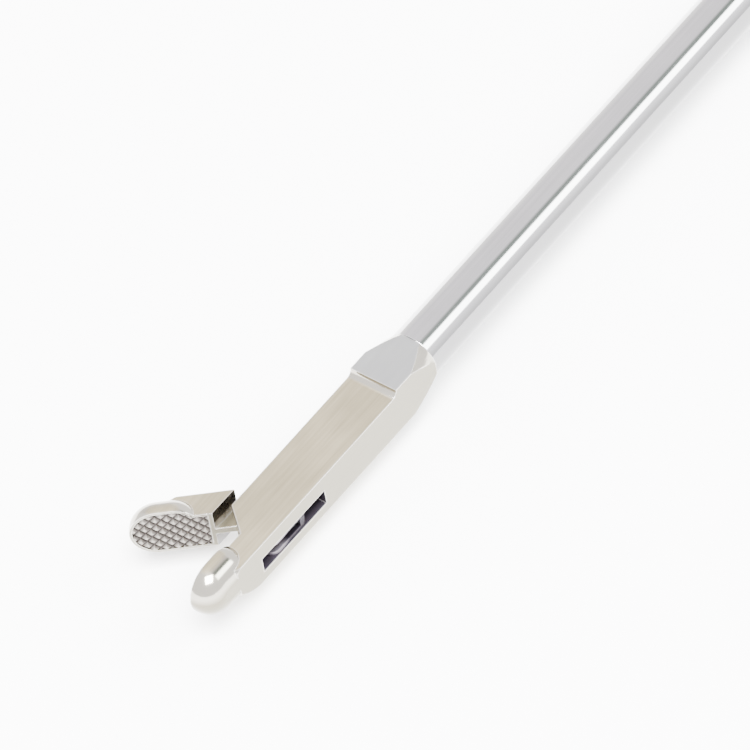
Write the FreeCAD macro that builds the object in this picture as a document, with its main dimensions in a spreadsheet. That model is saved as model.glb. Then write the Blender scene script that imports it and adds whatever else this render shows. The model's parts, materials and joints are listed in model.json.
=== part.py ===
import FreeCAD, Part
import os
import Sketcher

# Needle holder with a long thin shaft: a single swinging jaw is worked by a pull rod from a ring handle.
# X runs along the shaft to the jaws, Z is up from the table, and the rings hang towards +Y.
# The origin lies on the table side of the handle, straight under the pull rod's end at mid stroke.

os.makedirs("parts", exist_ok=True)
document = FreeCAD.newDocument("NeedleHolder")

# Driving dimensions, in millimetres and degrees

sizes = {
    # shaft
    "tube_diameter": 5.0,
    "tube_wall": 0.5,
    "tube_seat": 11.0,
    "working_length": 300.0,
    # head bar
    "collar_end": 1.6,
    "cone_end": 5.4,
    "step_start": 6.9,
    "bar_width": 4.9,
    "bar_depth": 2.5,
    "collar_level": 2.35,
    "flat_level": 1.7,
    "corner_clear": 0.05,
    "jaw_length": 11.1,
    "nose_straight": 1.25,
    "nose_top": 2.6,
    "nose_edge": 2.0,
    "nose_taper": 3.2,
    "nose_bulge": 8.0,
    "spigot_length": 8.0,
    # mechanism slot and jaw rear wall, measured from the jaw pivot
    "window_behind": 4.7,
    "window_ahead": 4.1,
    "slot_low": 1.5,
    "slot_height": 1.6,
    "mouth_behind": 1.3,
    "cavity_side": 1.25,
    "wall_ahead": 1.6,
    "wall_slant": 2.1,
    "jaw_rear_gap": 0.16,
    "tang_inset": 0.2,
    # jaw faces and inserts
    "face_gap": 0.1,
    "bite_gap": 0.06,
    "insert_depth": 0.9,
    "insert_rim": 0.25,
    "insert_step": 0.5,
    "groove_pitch": 0.72,
    "groove_width": 0.58,
    "groove_depth": 0.26,
    "groove_overcut": 0.05,
    # jaw pivot and drive
    "pivot_x": 22.3,
    "pivot_y": 1.1,
    "pivot_pin": 1.2,
    "pin_cover": 0.45,
    "jaw_opening": 50.0,
    "jaw_lever": 2.5,
    "lever_closed": 105.0,
    "lever_nose": 0.85,
    "tang_boss": 1.1,
    "tang_thickness": 0.68,
    "leaf_play": 0.03,
    "cheek_thickness": 0.4,
    "drive_pin": 0.8,
    "drive_play": 0.1,
    "pin_play": 0.02,
    # pull rod
    "rod_diameter": 2.0,
    "rod_play": 0.06,
    "rod_behind": 1.9,
    "rod_clear": 0.2,
    "fork_behind": 2.4,
    "fork_low_side": 0.35,
    "fork_high_side": 2.3,
    "fork_end_wall": 0.6,
    "fork_corner": 0.8,
    "barrel_nut": 4.4,
    "barrel_nut_play": 0.1,
    "neck_play": 0.15,
    # handle block and barrel
    "handle_thickness": 10.0,
    "barrel_diameter": 10.0,
    "barrel_front": 44.0,
    "block_front": 22.0,
    "block_back": 13.0,
    "block_top": 7.0,
    "block_bottom": 20.0,
    "block_corner": 4.0,
    "barrel_root": 4.0,
    "rear_wall_end": 7.0,
    "slot_side": 9.0,
    "yoke_gap": 5.0,
    "yoke_play": 0.1,
    "chamber_length": 7.0,
    "chamber_diameter": 4.2,
    "seal_width": 1.1,
    "bush_length": 9.0,
    "bush_diameter": 4.0,
    "cover_thickness": 2.0,
    "cover_front": 18.0,
    "cover_bevel": 0.8,
    "cover_screw_ahead": 5.0,
    "cover_screw": 2.0,
    "cover_screw_length": 7.0,
    "cover_head": 3.8,
    "cover_head_height": 1.2,
    "cover_head_sink": 0.6,
    "nut_length": 9.0,
    "nut_diameter": 9.6,
    "nut_bevel": 0.5,
    "nut_taper": 1.6,
    "nut_taper_length": 2.0,
    "port_seat": 0.8,
    "port_seat_play": 0.1,
    "port_height": 10.0,
    "port_base": 7.2,
    "port_base_height": 2.0,
    "port_waist": 5.6,
    "port_lip": 7.8,
    "port_lip_height": 1.4,
    "port_bevel": 0.5,
    "port_bore": 4.2,
    "port_bore_depth": 8.0,
    "port_cone": 1.0,
    "port_spigot": 3.6,
    "port_spigot_back": 0.2,
    # arm of the handle
    "arm_rear": 13.0,
    "arm_front": 29.5,
    "arm_root": 14.0,
    "shoulder_end": 17.0,
    "shoulder_curve": 22.5,
    "arm_front_end": 38.0,
    "arm_rear_end": 41.0,
    "arm_front_curve": 60.0,
    "arm_rear_curve": 34.0,
    "arm_top_drop": 13.0,
    "arm_top_front": 4.5,
    "arm_top_rear": 6.5,
    # thumb lever
    "lever_swing": 13.3,
    "lever_boss": 7.5,
    "lever_pivot": 5.0,
    "pivot_head": 8.4,
    "pivot_head_height": 1.4,
    "pivot_head_proud": 1.2,
    "grip_root": 15.0,
    "grip_rear": 8.5,
    "grip_front": 3.5,
    "grip_front_curve": 70.0,
    "grip_rear_curve": 60.0,
    "grip_end_front": 13.0,
    "grip_end_front_drop": 9.0,
    "grip_end_rear": 8.0,
    "grip_end_rear_drop": 11.0,
    "neck_overlap": 1.0,
    "neck_side": 6.6,
    "neck_level": 4.0,
    "prong_wall": 2.0,
    "prong_reach": 2.2,
    "prong_end": 3.0,
    # rings
    "finger_bore": 22.0,
    "ring_width": 5.5,
    "finger_ring_x": 24.0,
    "finger_ring_y": 67.0,
    "finger_ring_shift_x": 6.0,
    "finger_ring_shift_y": 12.0,
    "thumb_bore": 22.0,
    "thumb_ring_x": 19.6,
    "thumb_ring_y": 64.7,
    "thumb_ring_thickness": 9.0,
    "edge_bevel": 2.1,
    # ratchet
    "rack_inner": 27.0,
    "rack_width": 3.5,
    "rack_thickness": 3.0,
    "rack_play": 0.2,
    "rack_start": -24.0,
    "rack_finish": 34.5,
    "tooth_pitch": 2.4,
    "tooth_depth": 0.9,
    "tooth_lead": 0.3,
    "gap_rear": 0.22,
    "gap_front": 0.05,
    "gap_slope": 0.62,
    "rack_seat_end": 16.0,
    "rivet_diameter": 1.8,
    "rivet_rear": -11.0,
    "rivet_front": -4.0,
    # pawl with its trigger and spring, measured from the pawl pin
    "pawl_angle": 38.0,
    "pawl_pin_outset": 1.1,
    "pawl_pin_angle": 54.6,
    "pawl_pin": 2.4,
    "pawl_boss": 4.4,
    "pawl_lift": 8.5,
    "pin_sink": 0.2,
    "pawl_clear": 0.4,
    "pawl_tooth": 0.7,
    "pawl_tooth_front": 1.1,
    "pawl_tooth_edge": 0.02,
    "pawl_tooth_rear": 0.25,
    "pawl_tooth_foot": 0.6,
    "pawl_nose": 1.4,
    "pawl_nose_angle": 2.8,
    "pawl_belly": 3.4,
    "pawl_belly_angle": 1.5,
    "pawl_waist": 2.8,
    "pawl_waist_angle": 8.0,
    "pawl_root_high": 0.2,
    "pawl_root_low": 0.9,
    "trigger_root": 0.4,
    "trigger_root_drop": 2.1,
    "trigger_side": 3.0,
    "trigger_side_drop": 1.6,
    "trigger_front": 9.6,
    "trigger_front_rise": 7.0,
    "trigger_tip": 13.0,
    "trigger_tip_rise": 20.0,
    "trigger_tip_rear": 11.0,
    "trigger_back": 6.4,
    "trigger_back_rise": 9.0,
    "trigger_inner": 1.8,
    "trigger_inner_rise": 1.2,
    "trigger_curve": 11.0,
    "trigger_front_curve": 16.0,
    "trigger_back_curve": 17.0,
    "trigger_inner_curve": 9.0,
    "trigger_room": 21.7,
    "spring_leaf": 0.3,
    "spring_level": 2.75,
    "spring_play": 0.1,
    "spring_foot": 1.1,
    "spring_bend": 4.7,
    "spring_reach": 8.3,
    "spring_rise": 2.6,
}
rackTeeth = 4

dims = document.addObject("Spreadsheet::Sheet", "dims")
for row, (alias, size) in enumerate(sizes.items(), start=1):
    dims.set(f"A{row}", alias)
    dims.set(f"B{row}", str(size))
    dims.setAlias(f"B{row}", alias)
document.recompute()

# Sizes that follow from the driving ones

axisHeight = "(dims.handle_thickness / 2)"
tubeRadius = "(dims.tube_diameter / 2)"
tubeInner = "(dims.tube_diameter / 2 - dims.tube_wall)"
rodRadius = "(dims.rod_diameter / 2)"
rodBore = "(dims.rod_diameter / 2 + dims.rod_play)"
barHalf = "(dims.bar_width / 2)"
tipReach = "(dims.pivot_x + dims.jaw_length)"
headX = f"(dims.barrel_front + dims.nut_length + dims.working_length - {tipReach})"
pivotX = "dims.pivot_x"
pivotY = "(0 - dims.pivot_y)"
windowRear = "(dims.pivot_x - dims.window_behind)"
windowFront = "(dims.pivot_x + dims.window_ahead)"
tangMouth = "(dims.pivot_x - dims.mouth_behind)"
wallOuter = "(dims.pivot_x + dims.wall_ahead)"
wallInner = f"({wallOuter} + dims.wall_slant)"
insertRear = f"({wallInner} + dims.insert_step)"
rodFront = "(dims.pivot_x - dims.rod_behind)"
forkRear = "(dims.pivot_x - dims.fork_behind)"
noseRadius = "((dims.nose_top + dims.bar_depth) / 2)"
noseCrest = f"({tipReach} - {noseRadius} - dims.nose_straight)"
noseMiddle = "((dims.nose_top - dims.bar_depth) / 2)"
tangLow = "(0 - dims.slot_low + 2 * dims.leaf_play + dims.cheek_thickness)"
forkLow = "(0 - dims.slot_low + dims.leaf_play)"
forkHeight = "(dims.slot_height - 2 * dims.leaf_play)"
rodTravel = ("(dims.jaw_lever * (cos(dims.lever_closed - dims.jaw_opening)"
             " - cos(dims.lever_closed)))")
pinX = "(dims.pivot_x + dims.jaw_lever * cos(dims.lever_closed - dims.jaw_opening))"
pinLowY = "(dims.jaw_lever * sin(dims.lever_closed - dims.jaw_opening) - dims.pivot_y)"
pinHighY = "(dims.jaw_lever - dims.pivot_y)"
leverArm = f"({rodTravel} / (2 * sin(dims.lever_swing / 2)))"
rodEndX = f"({rodTravel} / 2)"
yokeLow = f"({axisHeight} - dims.yoke_gap / 2)"


def number(expression):
    """Value of a sheet expression as a plain number."""
    value = dims.evalExpression(expression)
    return float(getattr(value, "Value", value))


def minus(expression):
    return f"(0 - {expression})"


def polar(radius, angle):
    """Point at a radius from the lever pivot, its angle taken from +Y towards +X."""
    return f"({radius}) * sin({angle})", f"({radius}) * cos({angle})"


# Construction helpers

def newBody(label):
    body = document.addObject("PartDesign::Body", label)
    body.Label = label
    return body


def place(piece, x="0", y="0", z="0", turn=None):
    """Put a piece in the object's frame, turned about Z through its own origin."""
    if turn is not None:
        piece.Placement = FreeCAD.Placement(FreeCAD.Vector(0, 0, 0),
                                            FreeCAD.Rotation(FreeCAD.Vector(0, 0, 1), 1))
        piece.setExpression("Placement.Rotation.Angle", turn)
    piece.setExpression("Placement.Base.x", x)
    piece.setExpression("Placement.Base.y", y)
    piece.setExpression("Placement.Base.z", z)


def newSketch(body, role, lift="0"):
    """Sketch on an origin plane of the body, lifted along the plane's normal."""
    plane = [item for item in body.Origin.OriginFeatures if item.Role == role][0]
    sketch = body.newObject("Sketcher::SketchObject", body.Label + "_sketch")
    sketch.AttachmentSupport = (plane, [""])
    sketch.MapMode = "FlatFace"
    sketch.setExpression("AttachmentOffset.Base.z", lift)
    return sketch


def bind(sketch, kind, geometry, expression):
    """Add one dimension to the sketch and tie it to the sheet."""
    index = sketch.addConstraint(Sketcher.Constraint(kind, *geometry, number(expression)))
    name = f"size{index}"
    sketch.renameConstraint(index, name)
    sketch.setExpression("Constraints." + name, expression)


def circle(sketch, x, y, radius):
    centre = FreeCAD.Vector(number(x), number(y), 0)
    index = sketch.addGeometry(Part.Circle(centre, FreeCAD.Vector(0, 0, 1), number(radius)))
    bind(sketch, "DistanceX", (-1, 1, index, 3), x)
    bind(sketch, "DistanceY", (-1, 1, index, 3), y)
    bind(sketch, "Radius", (index,), radius)


def outline(sketch, corners):
    """Closed outline: each corner is (x, y), or (x, y, radius, side) where an arc starts there.

    The side is that of the arc's centre, seen along the way round.
    """
    points = [FreeCAD.Vector(number(corner[0]), number(corner[1]), 0) for corner in corners]
    ends = []
    for index, corner in enumerate(corners):
        start = points[index]
        finish = points[(index + 1) % len(points)]
        if len(corner) == 2:
            edge = sketch.addGeometry(Part.LineSegment(start, finish))
            ends.append((edge, 1, 2))
            continue
        radius = number(corner[2])
        chord = finish - start
        rise = max(radius ** 2 - chord.Length ** 2 / 4, 0) ** 0.5
        left = FreeCAD.Vector(-chord.y, chord.x, 0).normalize()
        toLeft = corner[3] == "left"
        centre = (start + finish) * 0.5 + left * (rise if toLeft else -rise)
        middle = centre + ((start + finish) * 0.5 - centre).normalize() * radius
        if rise == 0:
            middle = centre - left * (radius if toLeft else -radius)
        arc = Part.Arc(start, middle, finish) if toLeft else Part.Arc(finish, middle, start)
        edge = sketch.addGeometry(arc)
        ends.append((edge, 1, 2) if toLeft else (edge, 2, 1))
        bind(sketch, "Radius", (edge,), corner[2])
    for index, corner in enumerate(corners):
        edge, first, last = ends[index]
        following = ends[(index + 1) % len(ends)]
        sketch.addConstraint(Sketcher.Constraint("Coincident", edge, last, following[0], following[1]))
        bind(sketch, "DistanceX", (-1, 1, edge, first), corner[0])
        bind(sketch, "DistanceY", (-1, 1, edge, first), corner[1])


def box(sketch, xLow, yLow, xHigh, yHigh):
    outline(sketch, [(xLow, yLow), (xHigh, yLow), (xHigh, yHigh), (xLow, yHigh)])


def pad(body, sketch, length):
    """Add the sketched area along the sketch's normal."""
    feature = body.newObject("PartDesign::Pad", body.Label + "_pad")
    feature.Profile = sketch
    feature.setExpression("Length", length)
    document.recompute()
    return feature


def pocket(body, sketch, depth, along=True):
    """Cut the sketched area along the sketch's normal, or against it; it must take material away."""
    before = body.Shape.Volume
    feature = body.newObject("PartDesign::Pocket", body.Label + "_pocket")
    feature.Profile = sketch
    feature.setExpression("Length", depth)
    feature.Reversed = along
    document.recompute()
    if not body.Shape.Volume < before:
        raise RuntimeError("a pocket cuts nothing: " + body.Label)
    return feature


def revolve(body, sketch, kind="PartDesign::Revolution", axis="H_Axis"):
    feature = body.newObject(kind, body.Label + "_turned")
    feature.Profile = sketch
    feature.ReferenceAxis = (sketch, [axis])
    feature.Angle = 360
    document.recompute()
    return feature


def soften(body, wanted, radius, kind="PartDesign::Fillet"):
    """Round or bevel every edge whose middle point is wanted."""
    base = body.Tip
    names = []
    for index, edge in enumerate(base.Shape.Edges, start=1):
        middle = edge.valueAt((edge.FirstParameter + edge.LastParameter) / 2)
        if wanted(middle, edge):
            names.append(f"Edge{index}")
    if not names:
        raise RuntimeError("no edge to soften on " + body.Label)
    feature = body.newObject(kind, body.Label + "_edge")
    feature.Base = (base, names)
    feature.setExpression("Radius" if kind.endswith("Fillet") else "Size", radius)
    document.recompute()
    return feature


def near(value, expression, slack=0.01):
    return abs(value - number(expression)) < slack


cornerReach = "(1.5 * dims.bar_width)"
coneTop = "(sqrt(dims.bar_width ^ 2 / 4 + dims.bar_depth ^ 2) + dims.corner_clear)"
noseReach = (f"(sqrt(({barHalf} - dims.nose_edge) ^ 2 + ({noseRadius} - dims.nose_edge + abs({noseMiddle})) ^ 2)"
             " + dims.nose_edge)")


# Jaw head: a turned blank milled to a square bar, with a flat, a side window and a round nose

def noseOutline(sketch, shift):
    """Round-ended side view of a jaw nose, on an XZ sketch."""
    front = f"{tipReach} - {noseRadius} - {shift}"
    rear = f"{noseCrest} - {shift}"
    outline(sketch, [
        (rear, minus("dims.bar_depth")),
        (front, minus("dims.bar_depth"), noseRadius, "left"),
        (f"{tipReach} - {shift}", noseMiddle, noseRadius, "left"),
        (front, "dims.nose_top"),
        (rear, "dims.nose_top", noseRadius, "left"),
        (f"{rear} - {noseRadius}", noseMiddle, noseRadius, "left"),
    ])


def insertOutline(sketch, shift):
    """Side view of the toothed insert: the nose and a stretch of bar, inside an even rim."""
    inner = f"({noseRadius} - dims.insert_rim)"
    low = "dims.insert_rim - dims.bar_depth"
    high = "dims.nose_top - dims.insert_rim"
    flat = "(dims.flat_level - dims.insert_rim)"
    front = f"{tipReach} - {noseRadius} - {shift}"
    foot = f"{noseCrest} - sqrt({inner} ^ 2 - ({flat} - {noseMiddle}) ^ 2) - {shift}"
    outline(sketch, [
        (f"{insertRear} - {shift}", low),
        (front, low, inner, "left"),
        (f"{tipReach} - dims.insert_rim - {shift}", noseMiddle, inner, "left"),
        (front, high),
        (f"{noseCrest} - {shift}", high, inner, "left"),
        (foot, flat),
        (f"{insertRear} - {shift}", flat),
    ])


def roundNose(body, outerY):
    """Round the outer rim of the nose, at the given Y."""
    soften(body, lambda point, edge: near(point.y, outerY), "dims.nose_edge")


def taperNose(body, shift, axisY):
    """Turn the bar's corners down to the round of the nose."""
    sketch = newSketch(body, "XY_Plane")
    sketch.setExpression("AttachmentOffset.Base.y", axisY)
    outline(sketch, [
        (f"{noseCrest} - {shift}", noseReach, "dims.nose_bulge", "left"),
        (f"{noseCrest} - dims.nose_taper - {shift}", coneTop),
        (f"{noseCrest} - dims.nose_taper - {shift}", cornerReach),
        (f"{noseCrest} - {shift}", cornerReach),
    ])
    revolve(body, sketch, "PartDesign::Groove")


head = newBody("jaw_head")
nose = newSketch(head, "XZ_Plane", minus(barHalf))
noseOutline(nose, "0")
pad(head, nose, f"{barHalf} - dims.face_gap")
roundNose(head, barHalf)

bar = newSketch(head, "XZ_Plane", minus(barHalf))
stepRadius = "(dims.collar_level - dims.flat_level)"
outline(bar, [
    ("dims.collar_end", minus("dims.bar_depth")),
    (noseCrest, minus("dims.bar_depth")),
    (noseCrest, "dims.flat_level"),
    (f"dims.step_start + {stepRadius}", "dims.flat_level", stepRadius, "right"),
    ("dims.step_start", "dims.collar_level"),
    ("dims.collar_end", "dims.collar_level"),
])
pad(head, bar, "dims.bar_width")

taperNose(head, "0", "0")
cone = newSketch(head, "XY_Plane")
outline(cone, [
    ("dims.collar_end", tubeRadius),
    ("dims.cone_end", coneTop),
    ("dims.cone_end", cornerReach),
    ("dims.collar_end", cornerReach),
])
revolve(head, cone, "PartDesign::Groove")

spigot = newSketch(head, "YZ_Plane", "dims.collar_end - dims.spigot_length")
circle(spigot, "0", "0", tubeInner)
pad(head, spigot, "dims.spigot_length")

boreSketch = newSketch(head, "YZ_Plane", "dims.collar_end - dims.spigot_length")
circle(boreSketch, "0", "0", rodBore)
pocket(head, boreSketch, f"{rodFront} + dims.rod_clear - dims.collar_end + dims.spigot_length")

pinLength = "(dims.bar_depth + dims.flat_level - dims.pin_cover)"
slot = newSketch(head, "XY_Plane", minus("dims.slot_low"))
outline(slot, [
    (windowRear, "dims.bar_width"),
    (windowRear, minus("dims.cavity_side")),
    (tangMouth, minus("dims.cavity_side")),
    (tangMouth, minus("dims.bar_width")),
    (windowFront, minus("dims.bar_width")),
    (windowFront, "dims.bar_width"),
])
pocket(head, slot, "dims.slot_height")

jawRoom = newSketch(head, "XY_Plane", minus("dims.bar_width"))
outline(jawRoom, [
    (wallOuter, minus(barHalf)),
    (wallOuter, minus("dims.bar_width")),
    (tipReach, minus("dims.bar_width")),
    (tipReach, "dims.face_gap"),
    (f"{wallInner}", "dims.face_gap"),
])
pocket(head, jawRoom, "2 * dims.bar_width")

recess = newSketch(head, "XZ_Plane", minus("dims.face_gap"))
insertOutline(recess, "0")
pocket(head, recess, "dims.insert_depth", along=False)

pivotHole = newSketch(head, "XY_Plane", minus("dims.bar_depth"))
circle(pivotHole, pivotX, pivotY, "dims.pivot_pin / 2")
pocket(head, pivotHole, pinLength)
place(head, headX, "0", axisHeight)

# Moving jaw: modelled closed, with its pivot at the origin, and placed open

jaw = newBody("moving_jaw")
jawFace = f"(dims.face_gap + {pivotY})"
nose = newSketch(jaw, "XZ_Plane", jawFace)
noseOutline(nose, pivotX)
pad(jaw, nose, f"{barHalf} - dims.face_gap")
roundNose(jaw, f"0 - {barHalf} - {pivotY}")

bar = newSketch(jaw, "XZ_Plane", jawFace)
box(bar, f"{wallOuter} + dims.jaw_rear_gap - {pivotX}", minus("dims.bar_depth"),
    f"{noseCrest} - {pivotX}", "dims.flat_level")
pad(jaw, bar, f"{barHalf} - dims.face_gap")

taperNose(jaw, pivotX, minus(pivotY))
rear = newSketch(jaw, "XY_Plane", minus("dims.bar_width"))
outline(rear, [
    (f"{wallOuter} + dims.jaw_rear_gap - {pivotX}", f"0 - {barHalf} - {pivotY}"),
    (f"{wallInner} + dims.jaw_rear_gap - {pivotX}", f"0 - {pivotY}"),
    (f"{wallInner} + dims.jaw_rear_gap - {pivotX}", f"dims.bar_width - {pivotY}"),
    (f"{wallOuter} + dims.jaw_rear_gap - dims.bar_width - {pivotX}", f"dims.bar_width - {pivotY}"),
    (f"{wallOuter} + dims.jaw_rear_gap - dims.bar_width - {pivotX}",
     f"0 - {barHalf} - {pivotY}"),
])
pocket(jaw, rear, "2 * dims.bar_width")

link = newSketch(jaw, "XY_Plane", tangLow)
outline(link, [
    ("0", minus("dims.tang_boss")),
    (f"{wallOuter} + 2 * dims.jaw_rear_gap - {pivotX}", f"dims.tang_inset - {barHalf} - {pivotY}"),
    (f"{wallInner} + 3 * dims.jaw_rear_gap - {pivotX}", f"0 - dims.face_gap - {pivotY}"),
    ("0", f"0 - dims.face_gap - {pivotY}"),
])
pad(jaw, link, "dims.tang_thickness")
boss = newSketch(jaw, "XY_Plane", tangLow)
circle(boss, "0", "0", "dims.tang_boss")
pad(jaw, boss, "dims.tang_thickness")
drive = newSketch(jaw, "XY_Plane", tangLow)
reachX = "dims.jaw_lever * cos(dims.lever_closed)"
reachY = "dims.jaw_lever * sin(dims.lever_closed)"
sideX = "dims.lever_nose * sin(dims.lever_closed)"
sideY = "dims.lever_nose * cos(dims.lever_closed)"
outline(drive, [
    (sideX, f"0 - {sideY}"),
    (f"{reachX} + {sideX}", f"{reachY} - {sideY}"),
    (f"{reachX} - {sideX}", f"{reachY} + {sideY}"),
    (f"0 - {sideX}", sideY),
])
pad(jaw, drive, "dims.tang_thickness")
driveEnd = newSketch(jaw, "XY_Plane", tangLow)
circle(driveEnd, reachX, reachY, "dims.lever_nose")
pad(jaw, driveEnd, "dims.tang_thickness")
holes = newSketch(jaw, "XY_Plane", tangLow)
circle(holes, "0", "0", "dims.pivot_pin / 2 + dims.pin_play")
circle(holes, reachX, reachY, "dims.drive_pin / 2")
pocket(jaw, holes, "dims.tang_thickness")
recess = newSketch(jaw, "XZ_Plane", jawFace)
insertOutline(recess, pivotX)
pocket(jaw, recess, "dims.insert_depth")


def placeWithJaw(piece):
    place(piece, f"{headX} + {pivotX}", pivotY, axisHeight, "0 - dims.jaw_opening")


placeWithJaw(jaw)

# Toothed inserts: a hard plate in each jaw, cut with two families of crossing grooves

def toothedInsert(label, shift, backLift, faceY, side):
    """Insert plate padded from its back, or from its face, with the teeth at faceY."""
    plate = newBody(label)
    sheet = newSketch(plate, "XZ_Plane", backLift)
    insertOutline(sheet, shift)
    pad(plate, sheet, "dims.insert_depth + dims.face_gap - dims.bite_gap / 2")
    middleX = f"(({insertRear} + {tipReach}) / 2 - {shift})"
    span = number(f"sqrt(({tipReach} - {insertRear}) ^ 2 + (2 * dims.nose_top) ^ 2)")
    rows = 2 * int(span / number("dims.groove_pitch") / 2) + 1
    for tilt in (45, -45):
        groove = newSketch(plate, "YZ_Plane", middleX)
        groove.AttachmentOffset = FreeCAD.Placement(
            FreeCAD.Vector(0, 0, number(middleX)), FreeCAD.Rotation(FreeCAD.Vector(1, 0, 0), tilt))
        groove.setExpression("AttachmentOffset.Base.z", middleX)
        groove.setExpression("AttachmentOffset.Base.y", noseMiddle)
        start = f"(0 - {(rows - 1) // 2} * dims.groove_pitch)"
        outline(groove, [
            (f"{faceY} + {side} * dims.groove_depth", start),
            (f"{faceY} - {side} * dims.groove_overcut", f"{start} - dims.groove_width / 2"),
            (f"{faceY} - {side} * dims.groove_overcut", f"{start} + dims.groove_width / 2"),
        ])
        cut = plate.newObject("PartDesign::Pocket", label + "_groove")
        cut.Profile = groove
        cut.Midplane = True
        cut.setExpression("Length", f"4 * {tipReach} - 4 * {insertRear}")
        document.recompute()
        rowSet = plate.newObject("PartDesign::LinearPattern", label + "_rows")
        rowSet.Originals = [cut]
        rowSet.Direction = (groove, ["V_Axis"])
        rowSet.Occurrences = rows
        rowSet.setExpression("Length", f"{rows - 1} * dims.groove_pitch")
        plate.Tip = rowSet
        document.recompute()
    return plate


fixedInsert = toothedInsert("fixed_jaw_insert", "0", "0 - dims.face_gap - dims.insert_depth",
                            "(dims.bite_gap / 2)", "1")
place(fixedInsert, headX, "0", axisHeight)
movingInsert = toothedInsert("moving_jaw_insert", pivotX, f"(dims.bite_gap / 2) + {pivotY}",
                             f"(0 - dims.bite_gap / 2 - {pivotY})", "(0 - 1)")
placeWithJaw(movingInsert)

# Pins of the jaw

pivotPin = newBody("jaw_pivot_pin")
pinSketch = newSketch(pivotPin, "XY_Plane", minus("dims.bar_depth"))
circle(pinSketch, pivotX, pivotY, "dims.pivot_pin / 2")
pad(pivotPin, pinSketch, pinLength)
place(pivotPin, headX, "0", axisHeight)

drivePin = newBody("drive_pin")
pinSketch = newSketch(drivePin, "XY_Plane", forkLow)
circle(pinSketch, reachX, reachY, "dims.drive_pin / 2")
pad(drivePin, pinSketch, forkHeight)
placeWithJaw(drivePin)

# Pull rod with its forked end, in the open position

rod = newBody("pull_rod")
rodSketch = newSketch(rod, "YZ_Plane", f"{rodEndX} - {headX}")
circle(rodSketch, "0", "0", rodRadius)
pad(rod, rodSketch, f"{headX} + {rodFront} - {rodEndX}")
fork = newSketch(rod, "XY_Plane", forkLow)
forkEnd = f"{pinX} + dims.drive_pin / 2 + dims.drive_play + dims.fork_end_wall"
forkCorner = "dims.fork_corner"
outline(fork, [
    (forkRear, minus("dims.fork_low_side")),
    (f"{forkEnd}", minus("dims.fork_low_side")),
    (f"{forkEnd}", f"dims.fork_high_side - {forkCorner}", forkCorner, "left"),
    (f"{forkEnd} - {forkCorner}", "dims.fork_high_side"),
    (f"{forkRear} + {forkCorner}", "dims.fork_high_side", forkCorner, "left"),
    (forkRear, f"dims.fork_high_side - {forkCorner}"),
])
pad(rod, fork, forkHeight)
gap = newSketch(rod, "XY_Plane", f"{tangLow} - dims.leaf_play")
box(gap, tangMouth, minus("dims.bar_width"), f"{forkEnd} + 1", "dims.bar_width")
pocket(rod, gap, "dims.tang_thickness + 2 * dims.leaf_play")
pinSlot = newSketch(rod, "XY_Plane", forkLow)
slotHalf = "(dims.drive_pin / 2 + dims.drive_play)"
outline(pinSlot, [
    (f"{pinX} + {slotHalf}", pinLowY),
    (f"{pinX} + {slotHalf}", pinHighY, slotHalf, "left"),
    (f"{pinX}", f"{pinHighY} + {slotHalf}", slotHalf, "left"),
    (f"{pinX} - {slotHalf}", pinHighY),
    (f"{pinX} - {slotHalf}", pinLowY, slotHalf, "left"),
    (f"{pinX}", f"{pinLowY} - {slotHalf}", slotHalf, "left"),
])
pocket(rod, pinSlot, forkHeight)
place(rod, headX, "0", axisHeight)

# Barrel nut on the rod's rear end: an upright round dowel that the lever's prongs hold

nutDowel = newBody("rod_barrel_nut")
dowelSketch = newSketch(nutDowel, "XY_Plane", minus("dims.barrel_nut / 2"))
circle(dowelSketch, "0", "0", "dims.barrel_nut / 2")
pad(nutDowel, dowelSketch, "dims.barrel_nut")
dowelBore = newSketch(nutDowel, "YZ_Plane", minus("dims.barrel_nut / 2"))
circle(dowelBore, "0", "0", rodRadius)
pocket(nutDowel, dowelBore, "dims.barrel_nut")
place(nutDowel, rodEndX, "0", axisHeight)

# Shaft tube, bushes and seal

def ring(label, start, length, inner, outer):
    """Round sleeve along the shaft axis, from a start on X."""
    body = newBody(label)
    sketch = newSketch(body, "YZ_Plane", start)
    circle(sketch, "0", "0", outer)
    circle(sketch, "0", "0", inner)
    pad(body, sketch, length)
    place(body, "0", "0", axisHeight)
    return body


tubeRear = "(dims.barrel_front - dims.tube_seat)"
chamberRear = f"({tubeRear} - dims.chamber_length)"
sealRear = f"({chamberRear} - dims.seal_width)"
bushRear = f"({sealRear} - dims.bush_length)"
ring("shaft_tube", tubeRear, f"{headX} + dims.collar_end - {tubeRear}", tubeInner, tubeRadius)
ring("rod_guide_bush", f"{headX} + dims.collar_end - dims.spigot_length - dims.bush_length",
     "dims.bush_length", rodBore, tubeInner)
ring("rear_rod_bush", bushRear, "dims.bush_length", rodBore, "dims.bush_diameter / 2")

sealSeat = f"({rodBore} + dims.seal_width)"
ring("rod_seal", sealRear, "dims.seal_width", rodBore, sealSeat)

nut = newBody("union_nut")
nutSketch = newSketch(nut, "XY_Plane")
nutRadius = "(dims.nut_diameter / 2)"
outline(nutSketch, [
    ("dims.barrel_front", tubeRadius),
    ("dims.barrel_front + dims.nut_length", tubeRadius),
    ("dims.barrel_front + dims.nut_length", f"{nutRadius} - dims.nut_taper"),
    ("dims.barrel_front + dims.nut_length - dims.nut_taper_length", nutRadius),
    ("dims.barrel_front + dims.nut_bevel", nutRadius),
    ("dims.barrel_front", f"{nutRadius} - dims.nut_bevel"),
])
revolve(nut, nutSketch)
place(nut, "0", "0", axisHeight)

# Flushing port on the barrel

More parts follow.
